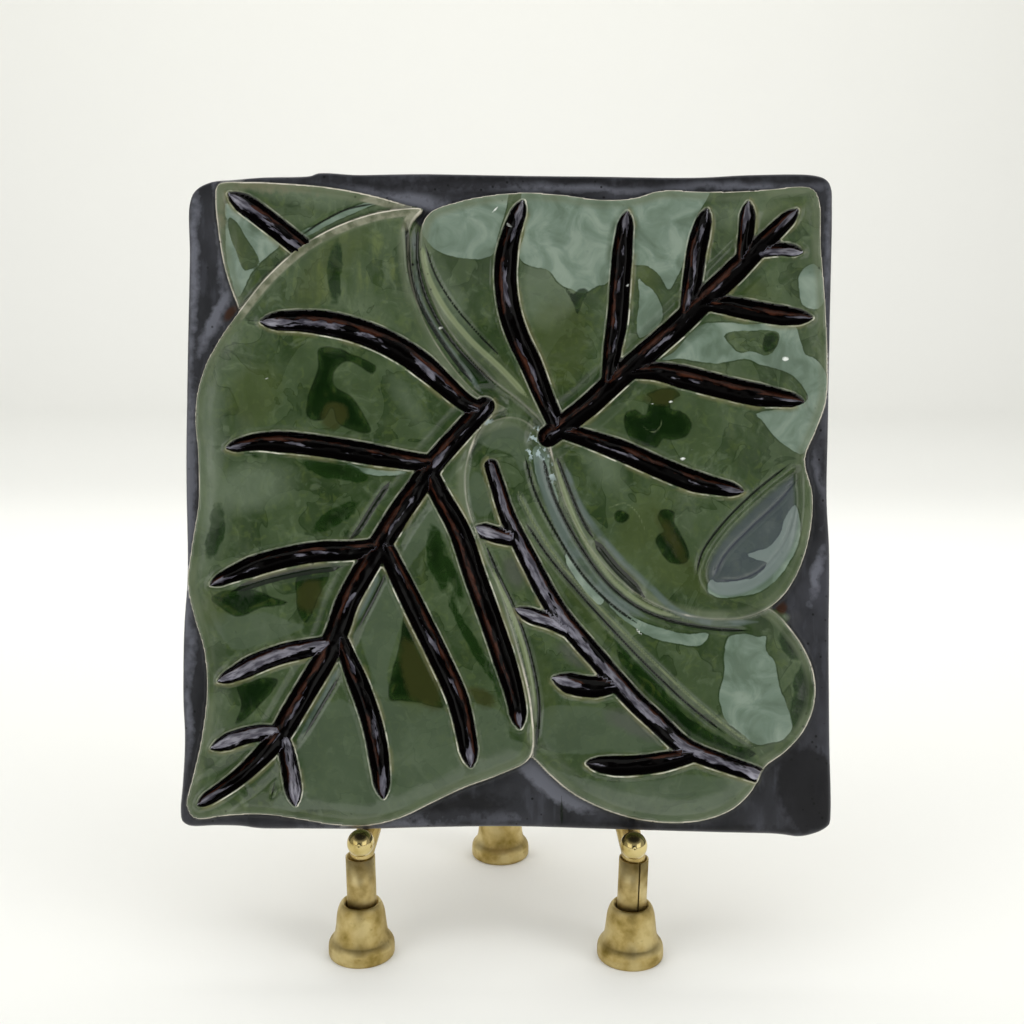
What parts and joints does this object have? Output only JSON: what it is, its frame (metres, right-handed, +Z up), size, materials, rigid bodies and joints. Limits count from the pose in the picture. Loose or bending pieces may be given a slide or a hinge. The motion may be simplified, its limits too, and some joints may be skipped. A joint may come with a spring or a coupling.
{
  "type": "relief ceramic tile",
  "caption": "Square glazed stoneware tile carved with overlapping leaves, leaning back on a brass tripod stand with bell feet and ball-ended pegs.",
  "frame": {"origin": "on the ground, under the middle of the whole object's box", "axes": "+Z up, -Y towards the viewer of the carved face, +X to the viewer's right"},
  "size_m": [0.154, 0.082, 0.1895],
  "materials": {
    "glaze": "gloss",
    "brass": "satin"
  },
  "bodies": {
    "root": {"tile": "glaze", "bell_foot_left": "brass", "bell_foot_right": "brass", "bell_foot_rear": "brass", "sleeve_left": "brass", "sleeve_right": "brass", "sleeve_rear": "brass", "leg_left": "brass", "leg_right": "brass", "leg_rear": "brass", "peg_left": "brass", "peg_right": "brass", "top_knob": "brass"}
  },
  "joints": []
}
